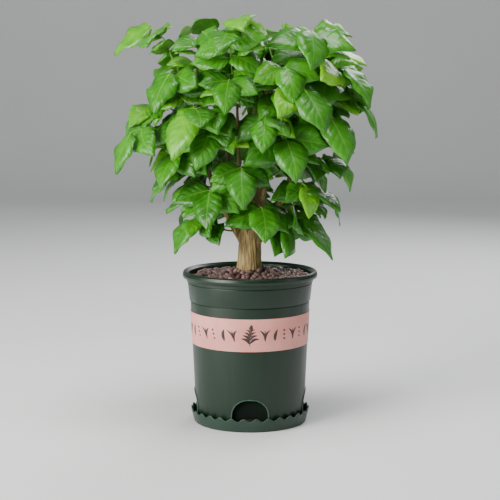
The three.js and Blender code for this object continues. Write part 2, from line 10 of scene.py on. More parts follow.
import bmesh
import bpy
import numpy as np
from mathutils import Matrix, Vector, noise
from mathutils.bvhtree import BVHTree


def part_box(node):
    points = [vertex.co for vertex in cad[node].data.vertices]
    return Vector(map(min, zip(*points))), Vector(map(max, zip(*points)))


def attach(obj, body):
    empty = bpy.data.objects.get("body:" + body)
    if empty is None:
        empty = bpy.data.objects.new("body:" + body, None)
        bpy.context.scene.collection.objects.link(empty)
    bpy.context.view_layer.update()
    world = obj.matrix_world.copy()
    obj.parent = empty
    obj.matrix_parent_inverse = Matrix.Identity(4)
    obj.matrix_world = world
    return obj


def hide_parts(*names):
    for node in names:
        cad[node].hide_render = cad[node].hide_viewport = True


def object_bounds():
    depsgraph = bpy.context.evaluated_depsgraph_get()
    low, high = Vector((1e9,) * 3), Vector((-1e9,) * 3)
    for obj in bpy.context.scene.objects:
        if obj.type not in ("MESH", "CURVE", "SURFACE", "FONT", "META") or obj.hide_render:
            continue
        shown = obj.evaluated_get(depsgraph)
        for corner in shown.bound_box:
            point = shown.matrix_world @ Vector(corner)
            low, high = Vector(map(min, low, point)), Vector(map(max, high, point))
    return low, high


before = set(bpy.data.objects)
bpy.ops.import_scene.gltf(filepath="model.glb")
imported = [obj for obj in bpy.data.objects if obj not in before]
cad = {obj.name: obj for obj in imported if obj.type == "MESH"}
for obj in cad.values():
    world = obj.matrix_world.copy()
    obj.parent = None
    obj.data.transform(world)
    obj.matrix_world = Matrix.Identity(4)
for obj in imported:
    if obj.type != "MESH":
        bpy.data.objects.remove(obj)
cad_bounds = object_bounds()

MM = 0.001
random.seed(20)


# ----------------------------------------------------------------------------------------------------
# Camera, stage and light
# ----------------------------------------------------------------------------------------------------

CAMERA_AT = Vector((0, -1.75, 0.4445))
CAMERA_TILT = math.radians(7.4)  # downwards
CAMERA_LENS = 101.0  # on a 36 mm sensor

scene = bpy.context.scene
camera = bpy.data.objects.new("camera", bpy.data.cameras.new("camera"))
camera.location = CAMERA_AT
camera.rotation_euler = (math.pi / 2 - CAMERA_TILT, 0, 0)
camera.data.lens = CAMERA_LENS
camera.data.sensor_width = 36
camera.data.clip_start = 0.05
scene.collection.objects.link(camera)
scene.camera = camera


def area_light(name, at, aim, size, power, colour=(1, 1, 1)):
    light = bpy.data.lights.new(name, "AREA")
    light.shape = "RECTANGLE"
    light.size, light.size_y = size
    light.energy = power
    light.color = colour
    holder = bpy.data.objects.new(name, light)
    holder.location = at
    holder.rotation_euler = (Vector(aim) - Vector(at)).to_track_quat("-Z", "Y").to_euler()
    scene.collection.objects.link(holder)


area_light("key", (-1.65, -1.6, 0.95), (0, 0, 0.3), (1.0, 1.1), 70, (1, 0.985, 0.96))
area_light("left_strip", (-1.65, -0.7, 0.5), (0, 0, 0.2), (0.5, 1.3), 22)
area_light("right_strip", (1.7, -0.5, 0.5), (0, 0, 0.2), (0.25, 1.2), 4, (0.95, 0.98, 1))
area_light("top", (0.1, -0.3, 2.1), (0, 0, 0.4), (0.9, 0.9), 30)
area_light("back", (0.7, 1.6, 1.4), (0, 0, 0.35), (0.9, 0.9), 20)

world = bpy.data.worlds.new("studio")
world.use_nodes = True
world.node_tree.nodes["Background"].inputs["Color"].default_value = (0.86, 0.89, 0.92, 1)
world.node_tree.nodes["Background"].inputs["Strength"].default_value = 0.26
scene.world = world


# ----------------------------------------------------------------------------------------------------
# Materials
# ----------------------------------------------------------------------------------------------------


def linear(code):
    """An sRGB hex colour as linear values."""
    channels = [int(code[i : i + 2], 16) / 255 for i in (1, 3, 5)]
    return tuple(c / 12.92 if c <= 0.04045 else ((c + 0.055) / 1.055) ** 2.4 for c in channels) + (1,)


def add(tree, kind, inputs=None, **settings):
    """A shader node with its settings, and each named input set or linked."""
    made = tree.nodes.new("ShaderNode" + kind)
    for key, value in settings.items():
        setattr(made, key, value)
    for key, value in (inputs or {}).items():
        if isinstance(value, bpy.types.NodeSocket):
            tree.links.new(value, made.inputs[key])
        else:
            made.inputs[key].default_value = value
    return made


def mixed(tree, share, low, high):
    """A colour between two colours, by a share."""
    blend = add(tree, "Mix", {0: share, 6: low, 7: high}, data_type="RGBA")
    return blend.outputs[2]


def maths(tree, operation, first, second=0.0, third=0.0, clamp=False):
    """The result of one sum on values or sockets."""
    inputs = {0: first, 1: second, 2: third}
    return add(tree, "Math", inputs, operation=operation, use_clamp=clamp).outputs[0]


def spread(tree, value, low, high, new_low=0.0, new_high=1.0):
    """A value moved from one range to another, held inside the new one."""
    return add(tree, "MapRange", {0: value, 1: low, 2: high, 3: new_low, 4: new_high}).outputs[0]


def new_material(name):
    made = bpy.data.materials.new(name)
    made.use_nodes = True
    made.node_tree.nodes.clear()
    return made, made.node_tree


def finish_material(tree, shader, other=None, share=0.0):
    """The surface's output, with a second shader mixed in by a share."""
    if other:
        shader = add(tree, "MixShader", {0: share, 1: shader.outputs[0], 2: other.outputs[0]})
    add(tree, "OutputMaterial", {0: shader.outputs[0]})


def object_noise(tree, size_mm, detail=3.0, stretch=(1, 1, 1)):
    """Noise whose blotches are about that many millimetres across, stretched along an axis."""
    place = add(tree, "TexCoord").outputs["Object"]
    scaled = add(tree, "Mapping", {"Vector": place, "Scale": tuple(1 / s for s in stretch)}).outputs[0]
    scale = 1 / (size_mm * MM)
    return add(tree, "TexNoise", {"Vector": scaled, "Scale": scale, "Detail": detail}).outputs["Fac"]


def moulded_plastic(name, colour, worn, roughness, shine):
    """Injection-moulded polypropylene: even colour, a satin skin, faint flow marks and a fine grain."""
    made, tree = new_material(name)
    cloud = object_noise(tree, 45, 4)
    grain = object_noise(tree, 1.3, 2)
    drag = object_noise(tree, 6, 3, (1, 1, 14))
    tint = mixed(tree, spread(tree, cloud, 0.35, 0.75, 0, 0.55), linear(colour), linear(worn))
    rough = spread(tree, drag, 0.3, 0.7, roughness - 0.05, roughness + 0.07)
    height = maths(tree, "ADD", maths(tree, "MULTIPLY", grain, 0.5), drag)
    bump = add(tree, "Bump", {"Height": height, "Strength": 0.10, "Distance": 0.3 * MM})
    skin = {"Base Color": tint, "Roughness": rough, "Normal": bump.outputs[0], "IOR": 1.49}
    finish_material(tree, add(tree, "BsdfPrincipled", {**skin, "Specular IOR Level": shine}))
    return made


def band_film():
    """Printed film, matt laminated: a flat pink with a slight cloud and a dry, even sheen."""
    made, tree = new_material("pink printed film, matt")
    cloud = object_noise(tree, 30, 4)
    speck = object_noise(tree, 0.8, 2)
    tint = mixed(tree, spread(tree, cloud, 0.3, 0.7, 0, 1), linear("#e09a8f"), linear("#d3887e"))
    rough = spread(tree, speck, 0.3, 0.7, 0.5, 0.62)
    bump = add(tree, "Bump", {"Height": speck, "Strength": 0.06, "Distance": 0.1 * MM})
    skin = {"Base Color": tint, "Roughness": rough, "Normal": bump.outputs[0]}
    finish_material(tree, add(tree, "BsdfPrincipled", skin))
    return made


def band_ink():
    """Screen-printed ink: dark brown, a little uneven where it lies on the film."""
    made, tree = new_material("dark brown printing ink")
    patch = object_noise(tree, 1.6, 3)
    tint = mixed(tree, spread(tree, patch, 0.4, 0.75, 0, 1), linear("#2c1c1a"), linear("#4a332f"))
    finish_material(tree, add(tree, "BsdfPrincipled", {"Base Color": tint, "Roughness": 0.5}))
    return made


def potting_soil():
    """Damp peat: nearly black, crumbly and dull."""
    made, tree = new_material("damp peat soil")
    crumb = object_noise(tree, 2.5, 6)
    tint = mixed(tree, spread(tree, crumb, 0.35, 0.7), linear("#17100d"), linear("#3c2c23"))
    bump = add(tree, "Bump", {"Height": crumb, "Strength": 0.9, "Distance": 1.2 * MM})
    skin = {"Base Color": tint, "Roughness": 0.9, "Normal": bump.outputs[0]}
    finish_material(tree, add(tree, "BsdfPrincipled", skin))
    return made


def fired_clay():
    """Fired clay granules: red-brown skins that differ from one to the next, pitted, with a faint glaze."""
    made, tree = new_material("fired clay granules")
    tone = add(tree, "Attribute", attribute_name="tone").outputs["Fac"]
    patch = object_noise(tree, 2.2, 4)
    place = add(tree, "TexCoord").outputs["Object"]
    pits = add(tree, "TexVoronoi", {"Vector": place, "Scale": 1 / (1.1 * MM)}).outputs["Distance"]
    skin = mixed(tree, tone, linear("#43292a"), linear("#80605a"))
    dusty = mixed(tree, spread(tree, patch, 0.52, 0.75, 0, 0.5), skin, linear("#a1908a"))
    rough = spread(tree, patch, 0.35, 0.7, 0.28, 0.6)
    bump = add(tree, "Bump", {"Height": pits, "Strength": 0.45, "Distance": 0.4 * MM})
    surface = {"Base Color": dusty, "Roughness": rough, "Normal": bump.outputs[0]}
    finish_material(tree, add(tree, "BsdfPrincipled", surface))
    return made


def trunk_bark():
    """Young bark: tan and corky low down with long upright fibres, smoother and greener on the shoots."""
    made, tree = new_material("fibrous tan bark")
    fibre = object_noise(tree, 1.5, 5, (1, 1, 11))
    patch = object_noise(tree, 9, 4, (1, 1, 2))
    crack = object_noise(tree, 3.2, 4, (1, 1, 7))
    height = add(tree, "SeparateXYZ", {0: add(tree, "TexCoord").outputs["Object"]}).outputs["Z"]
    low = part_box("trunk_and_shoots")[0].z
    young = spread(tree, height, low + 0.13, low + 0.20)
    pale = mixed(tree, spread(tree, fibre, 0.35, 0.68), linear("#6b532e"), linear("#bda26c"))
    patched = mixed(tree, spread(tree, patch, 0.45, 0.7, 0, 0.6), pale, linear("#97894f"))
    lined = mixed(tree, spread(tree, crack, 0.56, 0.7, 0, 0.75), patched, linear("#47351f"))
    shoot = mixed(tree, spread(tree, patch, 0.35, 0.65), linear("#6d6a33"), linear("#5c4a2b"))
    tint = mixed(tree, young, lined, shoot)
    relief = maths(tree, "SUBTRACT", fibre, maths(tree, "MULTIPLY", crack, 0.8))
    bump = add(tree, "Bump", {"Height": relief, "Strength": 0.8, "Distance": 0.8 * MM})
    skin = {"Base Color": tint, "Roughness": 0.8, "Normal": bump.outputs[0]}
    finish_material(tree, add(tree, "BsdfPrincipled", skin))
    return made


VEINS = 6  # pairs of side veins on a leaflet
VEIN_SLANT = 1.6  # how far they run forward, in spaces between veins


def leaf_blade(name, shades, vein, roughness, coat, relief):
    """A living leaflet's skin: waxy, quilted between fine paler veins, and letting some light through."""
    made, tree = new_material(name)
    place = add(tree, "SeparateXYZ", {0: add(tree, "UVMap", uv_map="UVMap").outputs[0]})
    along, across = place.outputs["X"], place.outputs["Y"]
    side = maths(tree, "ABSOLUTE", maths(tree, "MULTIPLY_ADD", across, 2.0, -1.0))
    tone = add(tree, "Attribute", attribute_name="tone").outputs["Fac"]
    cloud = object_noise(tree, 12, 4)
    blister = object_noise(tree, 3.2, 3)

    # A vein lies wherever run passes a whole number, and strays a little from where it should.
    run = maths(tree, "MULTIPLY_ADD", along, VEINS, maths(tree, "MULTIPLY", side, -VEIN_SLANT))
    strayed = maths(tree, "MULTIPLY_ADD", cloud, 0.9, run)
    gap = maths(tree, "PINGPONG", maths(tree, "ADD", strayed, VEINS), 0.5)
    side_vein = maths(tree, "MULTIPLY", spread(tree, gap, 0.07, 0), spread(tree, side, 0.6, 0.95, 1, 0))
    midrib = spread(tree, side, 0.045, 0.015)
    lines = maths(tree, "MAXIMUM", maths(tree, "MULTIPLY", side_vein, 0.6), midrib)
    pillow = maths(tree, "MULTIPLY", spread(tree, gap, 0, 0.35), spread(tree, side, 0.05, 0.3))

    varied = maths(tree, "ADD", tone, spread(tree, cloud, 0.3, 0.7, -0.12, 0.12), clamp=True)
    deep, middle, lime = (linear(shade) for shade in shades)
    # The low end of the tone, deep green, carries the painted shade inside the crown.
    lower = mixed(tree, spread(tree, varied, 0, 0.5), deep, middle)
    lamina = mixed(tree, spread(tree, varied, 0.5, 1), lower, lime)
    tint = mixed(tree, maths(tree, "MULTIPLY", lines, 0.3), lamina, linear(vein))
    height = maths(tree, "MULTIPLY_ADD", blister, 0.5, maths(tree, "MULTIPLY", pillow, relief))
    bump = add(tree, "Bump", {"Height": height, "Strength": 0.7, "Distance": 0.7 * MM}).outputs[0]
    rough = spread(tree, cloud, 0.3, 0.7, roughness - 0.06, roughness + 0.1)
    skin = {"Base Color": tint, "Roughness": rough, "Normal": bump, "IOR": 1.42}
    waxy = add(tree, "BsdfPrincipled", {**skin, "Coat Weight": coat, "Coat Roughness": 0.22})
    glow = mixed(tree, 0.5, tint, linear("#9fd000"))
    through = add(tree, "BsdfTranslucent", {"Color": glow, "Normal": bump})
    finish_material(tree, waxy, through, 0.22)
    return made


def leaf_stalk():
    """Leaf stalks: smooth, fresh green, browner towards the shoot."""
    made, tree = new_material("green leaf stalk")
    tone = add(tree, "Attribute", attribute_name="tone").outputs["Fac"]
    patch = object_noise(tree, 5, 3)
    young = mixed(tree, spread(tree, patch, 0.3, 0.7), linear("#5d9a2c"), linear("#7fb444"))
    tint = mixed(tree, tone, linear("#6d6a33"), young)
    finish_material(tree, add(tree, "BsdfPrincipled", {"Base Color": tint, "Roughness": 0.42}))
    return made


def studio_floor():
    """Painted studio floor: pale and dull, with the faintest cloud."""
    made, tree = new_material("pale studio paint")
    cloud = object_noise(tree, 400, 2)
    tint = mixed(tree, cloud, linear("#e4e5e4"), linear("#ecedec"))
    finish_material(tree, add(tree, "BsdfPrincipled", {"Base Color": tint, "Roughness": 0.85}))
    return made


POT_PLASTIC = moulded_plastic("dark green polypropylene, satin", "#0c2213", "#122a19", 0.36, 0.4)
# Lighter grey green for the saucer's upturned edge and the recess beads: a painted highlight where the light
# catches them.
HIGHLIGHT_PLASTIC = moulded_plastic("grey green polypropylene, painted highlight", "#2a4636", "#4c6756", 0.28, 0.5)
# Near-black, matt plastic for the back of each recess: its darkness is painted shade of the recess.
RECESS_SHADE_PLASTIC = moulded_plastic("dark green polypropylene, painted recess shade", "#08120b", "#0c1a11", 0.8, 0.15)
SAUCER_PLASTIC = moulded_plastic("grey green polypropylene, satin", "#21352a", "#2e4337", 0.4, 0.4)
BAND_FILM = band_film()
BAND_INK = band_ink()
SOIL = potting_soil()
CLAY = fired_clay()
BARK = trunk_bark()
LEAF_TOP = leaf_blade(
    "waxy leaflet, upper side", ("#22620d", "#459819", "#88d414"), "#9dd25c", 0.33, 0.32, 0.9
)
LEAF_UNDER = leaf_blade(
    "matt leaflet, underside", ("#3b7a28", "#62a23e", "#92c84c"), "#b4d880", 0.55, 0.0, -0.8
)
STALK = leaf_stalk()


# ----------------------------------------------------------------------------------------------------
# Making pieces
# ----------------------------------------------------------------------------------------------------


def piece_from(name, made, materials, smooth_angle=None):
    """A finished object from a bmesh."""
    mesh = bpy.data.meshes.new(name)
    made.to_mesh(mesh)
    made.free()
    for entry in materials:
        mesh.materials.append(entry)
    mesh.polygons.foreach_set("use_smooth", [True] * len(mesh.polygons))
    if smooth_angle:
        mesh.set_sharp_from_angle(angle=math.radians(smooth_angle))
    piece = bpy.data.objects.new(name, mesh)
    scene.collection.objects.link(piece)
    return piece


def points_in(elements):
    return [element for element in elements if isinstance(element, bmesh.types.BMVert)]


def stands_for(piece, slot, *nodes):
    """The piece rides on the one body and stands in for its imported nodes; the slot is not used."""
    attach(piece, "root")
    if nodes:
        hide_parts(*nodes)


def apply_modifiers(piece):
    """The piece's mesh with its modifiers worked in."""
    bpy.context.view_layer.update()
    shaped = piece.evaluated_get(bpy.context.evaluated_depsgraph_get())
    mesh = bpy.data.meshes.new_from_object(shaped)
    piece.modifiers.clear()
    piece.data = mesh


FILLET_STEPS = 4
NEARLY_STRAIGHT = math.radians(88)  # half of a corner so open that it takes no fillet


def rounded(outline, steps=FILLET_STEPS):
    """An outline of (radius, height, fillet) corners, in millimetres, as points with its corners rounded."""
    points = []
    count = len(outline)
    for i, (radius, height, fillet) in enumerate(outline):
        corner = Vector((radius, height))
        if not fillet:
            points.append(corner)
            continue
        before = (Vector(outline[i - 1][:2]) - corner).normalized()
        after = (Vector(outline[(i + 1) % count][:2]) - corner).normalized()
        half = before.angle(after) / 2
        if half > NEARLY_STRAIGHT:
            points.append(corner)
            continue
        reach = fillet / math.tan(half)
        centre = corner + (before + after).normalized() * (fillet / math.sin(half))
        start, end = corner + before * reach - centre, corner + after * reach - centre
        turn = start.angle_signed(end)
        for k in range(steps + 1):
            spot = start.copy()
            spot.rotate(Matrix.Rotation(-turn * k / steps, 2))
            points.append(centre + spot)
    return points


def spun(outline, turns):
    """A solid of revolution about +Z from a closed outline in millimetres."""
    made = bmesh.new()
    ring = [made.verts.new((p.x * MM, 0, p.y * MM)) for p in rounded(outline)]
    edges = [made.edges.new((ring[i - 1], ring[i])) for i in range(len(ring))]
    bmesh.ops.spin(
        made, geom=ring + edges, cent=(0, 0, 0), axis=(0, 0, 1), dvec=(0, 0, 0),
        angle=2 * math.pi, steps=turns, use_merge=True, use_normal_flip=False, use_duplicate=False,
    )
    bmesh.ops.remove_doubles(made, verts=made.verts, dist=0.005 * MM)
    bmesh.ops.recalc_face_normals(made, faces=made.faces)
    return made


def lathe(name, outline, turns, materials, smooth_angle=40):
    return piece_from(name, spun(outline, turns), materials, smooth_angle)


def swept(name, paths, radii, material, sides=3):
    """Round rods along paths, as one mesh: each path's points have their own radii."""
    curve = bpy.data.curves.new(name, "CURVE")
    curve.dimensions = "3D"
    curve.bevel_depth = 1.0
    curve.bevel_resolution = sides
    curve.resolution_u = 4
    curve.use_fill_caps = True
    for path, sizes in zip(paths, radii):
        spline = curve.splines.new("BEZIER")
        spline.bezier_points.add(len(path) - 1)
        for knot, spot, size in zip(spline.bezier_points, path, sizes):
            knot.co = spot
            knot.radius = size
            knot.handle_left_type = knot.handle_right_type = "AUTO"
    holder = bpy.data.objects.new(name + "_path", curve)
    scene.collection.objects.link(holder)
    bpy.context.view_layer.update()
    mesh = bpy.data.meshes.new_from_object(holder.evaluated_get(bpy.context.evaluated_depsgraph_get()))
    bpy.data.objects.remove(holder)
    mesh.materials.clear()
    mesh.materials.append(material)
    mesh.polygons.foreach_set("use_smooth", [True] * len(mesh.polygons))
    return mesh


def cut(piece, tool):
    """The piece with a tool's shape taken out of it; the tool is used up."""
    change = piece.modifiers.new("cut", "BOOLEAN")
    change.operation = "DIFFERENCE"
    change.solver = "EXACT"
    change.object = tool
    apply_modifiers(piece)
    bpy.data.objects.remove(tool)


# ----------------------------------------------------------------------------------------------------
# Stage
# ----------------------------------------------------------------------------------------------------


def backdrop():
    """A floor that sweeps up into a wall, wide enough to fill the view."""
    made = bmesh.new()
    half, front, back, bend, top = 6.0, -4.0, 3.0, 1.5, 5.0
    profile = [(front, 0), (back, 0)]
    profile += [
        (back + bend * math.sin(a), bend - bend * math.cos(a)) for a in np.linspace(0.1, math.pi / 2, 12)
    ]
    profile.append((back + bend, top))
    line = [made.verts.new((-half, y, z)) for y, z in profile]
    edges = [made.edges.new(pair) for pair in zip(line, line[1:])]
    pulled = bmesh.ops.extrude_edge_only(made, edges=edges)["geom"]
    bmesh.ops.translate(made, vec=(2 * half, 0, 0), verts=points_in(pulled))
    bmesh.ops.recalc_face_normals(made, faces=made.faces)
    return piece_from("studio_floor", made, [studio_floor()])


backdrop()


# ----------------------------------------------------------------------------------------------------
# Saucer
# ----------------------------------------------------------------------------------------------------

SAUCER = {
    "splay": 4,  # how much wider its edge is than its foot
    "wall": 1.8,
    "floor": 3,
    "ledge": 9,  # from the foot in to where the floor drops
    "drop": 0.6,
    "plain": 7,  # height below which the wall has no waves
    "waves": 30,
    "wave": 1.9,  # half of crest to trough
    "wave_steps": 10,
    "flute": 0.0035,  # how the waves swell the wall, as a share of its radius
}


def make_saucer():
    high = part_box("saucer")[1]
    edge = high.x / MM
    top = high.z / MM - SAUCER["wave"]
    foot, wall, floor = edge - SAUCER["splay"], SAUCER["wall"], SAUCER["floor"]
    ledge, well = foot - SAUCER["ledge"], floor - SAUCER["drop"]
    outline = [
        (0, 0, 0), (foot, 0, 1.6), (edge, top, 0.7), (edge - wall, top, 0.7),
        (foot - wall, floor, 1.2), (ledge, floor, 0), (ledge - 1, well, 0.3), (0, well, 0),
    ]
    made = spun(outline, SAUCER["waves"] * SAUCER["wave_steps"])
    for vert in made.verts:
        share = max(0.0, (vert.co.z / MM - SAUCER["plain"]) / (top - SAUCER["plain"]))
        angle = math.atan2(vert.co.y, vert.co.x)
        swing = math.cos(angle * SAUCER["waves"])
        vert.co.z += SAUCER["wave"] * MM * swing * min(share, 1) ** 2
        flute = 1 + SAUCER["flute"] * swing * min(share, 1)
        vert.co.x *= flute
        vert.co.y *= flute
    made.normal_update()
    for face in made.faces:
        # Upward-facing faces of the wavy edge take the lighter plastic: a painted highlight.
        painted_highlight_face = face.calc_center_median().z > SAUCER["plain"] * MM and face.normal.z > 0.5
        face.material_index = int(painted_highlight_face)
    return piece_from("saucer_moulded", made, [SAUCER_PLASTIC, HIGHLIGHT_PLASTIC], 35)


stands_for(make_saucer(), "saucer_plastic", "saucer")


# ----------------------------------------------------------------------------------------------------
# Pot
# ----------------------------------------------------------------------------------------------------

pot_low, pot_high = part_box("pot")
POT_FOOT = pot_low.z
RIM_TOP = pot_high.z
POT_TALL = (RIM_TOP - POT_FOOT) / MM
RIM = pot_high.x / MM

# Radii, and heights above the foot or drops from the top.
POT = {
    "wall": 1.6,
    "foot": 68.5,
    "foot_width": 6,
    "foot_height": 4,
    "drain_ring": 10,  # from the foot in to the raised base
    "collar_drop": 37,
    "collar": 76.2,
    "body_top": 75.2,
    "neck_drop": 14,
    "neck": 78.6,
    "step": 0.9,
    "groove": 4.5,  # below the rolled rim
    "lip": 8.5,
    "lip_width": 5.4,
}
ARCH = {"count": 4, "width": 45, "height": 37, "corner": 20, "depth": 6.5, "below": 3, "steps": 8}
BEAD = {"radius": 0.8, "proud": 0.4, "margin": 0.2, "foot": 1}
SLOT = {"width": 20, "height": 5, "rise": 7}
CUTTER_REACH = 30  # outwards, well past the wall
POT_TURNS = 144


def pot_radius(height):
    """The pot's outer wall, in millimetres above its foot, up to the collar."""
    share = height / (POT_TALL - POT["collar_drop"])
    return POT["foot"] + (POT["body_top"] - POT["foot"]) * share


def arch_outline(margin):
    """Half-round-topped outline of a recess, from its lower left corner, in millimetres."""
    half = ARCH["width"] / 2 + margin
    top = ARCH["height"] + margin
    corner = ARCH["corner"] + margin
    points = [(-half, -ARCH["below"])]
    for quarter, centre in ((0, -half + corner), (1, half - corner)):
        for k in range(ARCH["steps"] + 1):
            angle = math.pi - (quarter + k / ARCH["steps"]) * math.pi / 2
            points.append((centre + corner * math.cos(angle), top - corner + corner * math.sin(angle)))
    points.append((half, -ARCH["below"]))
    return points


def arch_block(turn, margin):
    """A block the shape of a recess, which cuts the wall from outside."""
    made = bmesh.new()
    inner = (POT["foot"] - ARCH["depth"] - margin) * MM
    outline = [made.verts.new((x * MM, -inner, z * MM)) for x, z in arch_outline(margin)]
    face = made.faces.new(outline)
    pushed = bmesh.ops.extrude_face_region(made, geom=[face])["geom"]
    bmesh.ops.translate(made, vec=(0, -CUTTER_REACH * MM, 0), verts=points_in(pushed))
    bmesh.ops.recalc_face_normals(made, faces=made.faces)
    bmesh.ops.rotate(made, verts=made.verts, matrix=Matrix.Rotation(turn, 3, "Z"))
    bmesh.ops.translate(made, verts=made.verts, vec=(0, 0, POT_FOOT))
    return piece_from("recess_cutter", made, [POT_PLASTIC])


def slot_block(turn):
    """A block the size of a drain slot, through the back of a recess."""
    made = bmesh.new()
    back = POT["foot"] - ARCH["depth"] - POT["wall"] / 2
    size = Vector((SLOT["width"], 3 * POT["wall"], SLOT["height"])) * MM
    bmesh.ops.create_cube(made, size=1, matrix=Matrix.Diagonal((*size, 1)))
    lift = SLOT["rise"] + SLOT["height"] / 2
    bmesh.ops.translate(made, verts=made.verts, vec=Vector((0, -back, lift)) * MM + Vector((0, 0, POT_FOOT)))
    bmesh.ops.rotate(made, verts=made.verts, matrix=Matrix.Rotation(turn, 3, "Z"))
    return piece_from("slot_cutter", made, [POT_PLASTIC])


def in_recess(face):
    """Whether a face is part of the pressed-in panel of a recess."""
    place, out = face.calc_center_median() / MM, face.normal
    above = place.z - POT_FOOT / MM > ARCH["height"] + 1
    underfoot = abs(out.z) > 0.5 and place.z < POT["foot_height"] + 1
    if above or underfoot:
        return False
    panel = POT["foot"] - ARCH["depth"]
    flat = max(abs(place.x), abs(place.y))
    return abs(flat - panel) < 0.3 and math.hypot(place.x, place.y) > panel - 1


def arch_bead(turn):
    """The thin raised edge round a recess, along the wall."""
    path = []
    for x, z in arch_outline(BEAD["margin"])[1:-1]:
        radius = pot_radius(z) + BEAD["proud"]
        side = math.asin(x / radius)
        spot = Vector((radius * math.sin(side), -radius * math.cos(side), z)) * MM
        spot.z += POT_FOOT
        path.append(Matrix.Rotation(turn, 3, "Z") @ spot)
    foot, end = path[0].copy(), path[-1].copy()
    foot.z = end.z = POT_FOOT + BEAD["foot"] * MM
    path = [foot] + path + [end]
    return swept("recess_bead", [path], [[BEAD["radius"] * MM] * len(path)], HIGHLIGHT_PLASTIC, 2)


def make_pot():
    """The moulded shell, pressed in at each recess and slotted there, with a bead round each recess."""
    tall, lip = POT_TALL, POT_TALL - POT["lip"]
    neck, collar = tall - POT["neck_drop"], tall - POT["collar_drop"]
    groove = lip - POT["groove"]
    outside = [
        (0, POT["foot_height"], 0), (POT["foot"] - POT["drain_ring"], POT["foot_height"], 0.5),
        (POT["foot"] - POT["foot_width"], 0, 0.8), (POT["foot"], 0, 1.2),
        (POT["body_top"], collar - 1.3, 0.3), (POT["body_top"] - 0.6, collar - 0.5, 0.2),
        (POT["collar"], collar + 0.2, 0.5), (POT["neck"], neck - 1, 0.3),
        (POT["neck"] - 0.5, neck - 0.1, 0.2), (POT["neck"] + POT["step"], neck + 0.7, 0.4),
        (POT["neck"] + POT["step"] + 0.2, groove, 0), (POT["neck"] + POT["step"] + 0.3, lip, 0.5),
        (RIM - 2.6, lip - 0.3, 0.5), (RIM - 0.6, lip + 0.6, 0.9), (RIM, lip + POT["lip"] * 0.45, 1.2),
        (RIM - 0.9, tall - 1.2, 1.3), (RIM - 2.2, tall, 0.9), (0, tall, 0),
    ]
    wall = POT["wall"]
    inner, mouth, over = POT["neck"] - wall, RIM - POT["lip_width"], tall + 4
    inside = [
        (0, POT["foot_height"] + wall, 0), (POT["foot"] + 0.2 - wall, POT["foot_height"] + wall, 1.5),
        (POT["body_top"] - wall, collar, 0.5), (inner, neck, 0.5), (inner, tall - 3, 1),
        (mouth, tall - 0.9, 0.8), (mouth + 1.3, tall + 0.4, 0), (mouth + 1.3, over, 0), (0, over, 0),
    ]
    pot = lathe("pot_moulded", outside, POT_TURNS, [POT_PLASTIC])
    hollow = lathe("pot_hollow", inside, POT_TURNS, [POT_PLASTIC])
    for solid in (pot, hollow):
        solid.data.transform(Matrix.Translation((0, 0, POT_FOOT)))
    turns = [i * 2 * math.pi / ARCH["count"] for i in range(ARCH["count"])]
    for turn in turns:
        cut(pot, arch_block(turn, 0))
        cut(hollow, arch_block(turn, POT["wall"]))
    cut(pot, hollow)
    for turn in turns:
        cut(pot, slot_block(turn))
    made = bmesh.new()
    made.from_mesh(pot.data)
    wall_faces = len(made.faces)
    for turn in turns:
        made.from_mesh(arch_bead(turn))
    bmesh.ops.recalc_face_normals(made, faces=made.faces)
    made.faces.ensure_lookup_table()
    # The back of each recess takes the near-black plastic: painted shade in the recess.
    for face in made.faces[:wall_faces]:
        face.material_index = int(in_recess(face))
    # The beads take the lighter plastic: a painted highlight along each recess edge.
    for face in made.faces[wall_faces:]:
        face.material_index = 2
    bpy.data.objects.remove(pot)
    return piece_from("pot_moulded", made, [POT_PLASTIC, RECESS_SHADE_PLASTIC, HIGHLIGHT_PLASTIC], 32)


stands_for(make_pot(), "pot_plastic", "pot")


# ----------------------------------------------------------------------------------------------------
# Printed band
# ----------------------------------------------------------------------------------------------------

band_low, band_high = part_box("label_band")
BAND_LOW = (band_low.z - POT_FOOT) / MM
BAND_TALL = (band_high.z - band_low.z) / MM
BAND_GAP = 0.3
BAND_THICK = 0.35
PRINT_PROUD = 0.05
INK_THICK = 0.08
THINNEST_LINE = 0.02
TWIG_LEAN = math.radians(86)
TWIGS = 4  # round the band
TWIG_TALL, TWIG_PAIRS, TWIG_ROOM = 27, 4, 24
MARK_TALL = 15
LEAF_PAIR, SINGLE_LEAF, BERRIES = 0, 1, 2
MARKS = (LEAF_PAIR, SINGLE_LEAF, BERRIES, LEAF_PAIR, BERRIES, SINGLE_LEAF, LEAF_PAIR)


def make_band():
    low, high = BAND_LOW, BAND_LOW + BAND_TALL
    near, far = pot_radius(low) + BAND_GAP, pot_radius(high) + BAND_GAP
    outline = [
        (near, low, 0.1), (near + BAND_THICK, low, 0.1),
        (far + BAND_THICK, high, 0.1), (far, high, 0.1),
    ]
    band = lathe("printed_band", outline, POT_TURNS, [BAND_FILM], 50)
    band.data.transform(Matrix.Translation((0, 0, POT_FOOT)))
    return band


def on_band(across, up, proud):
    """A place on the band: millimetres round it from the front, above its middle, and out of it."""
    height = BAND_LOW + BAND_TALL / 2 + up
    radius = pot_radius(height) + BAND_GAP + BAND_THICK + proud
    angle = across / radius
    return Vector((radius * math.sin(angle) * MM, -radius * math.cos(angle) * MM, height * MM + POT_FOOT))


def printed_shape(made, width_at, path, steps=10):
    """A flat printed shape along a path on the band: width_at gives its half width at each share."""
    before = len(made.verts)
    bmesh.ops.create_grid(made, x_segments=steps, y_segments=2, size=1)
    made.verts.ensure_lookup_table()
    for vert in list(made.verts)[before:]:
        share = (vert.co.x + 1) / 2
        spot, ahead = path(share), path(share + 0.01)
        run = (ahead - spot).normalized()
        across = Vector((-run.y, run.x)) * vert.co.y * max(width_at(share), THINNEST_LINE)
        vert.co = on_band(spot.x + across.x, spot.y + across.y, PRINT_PROUD)


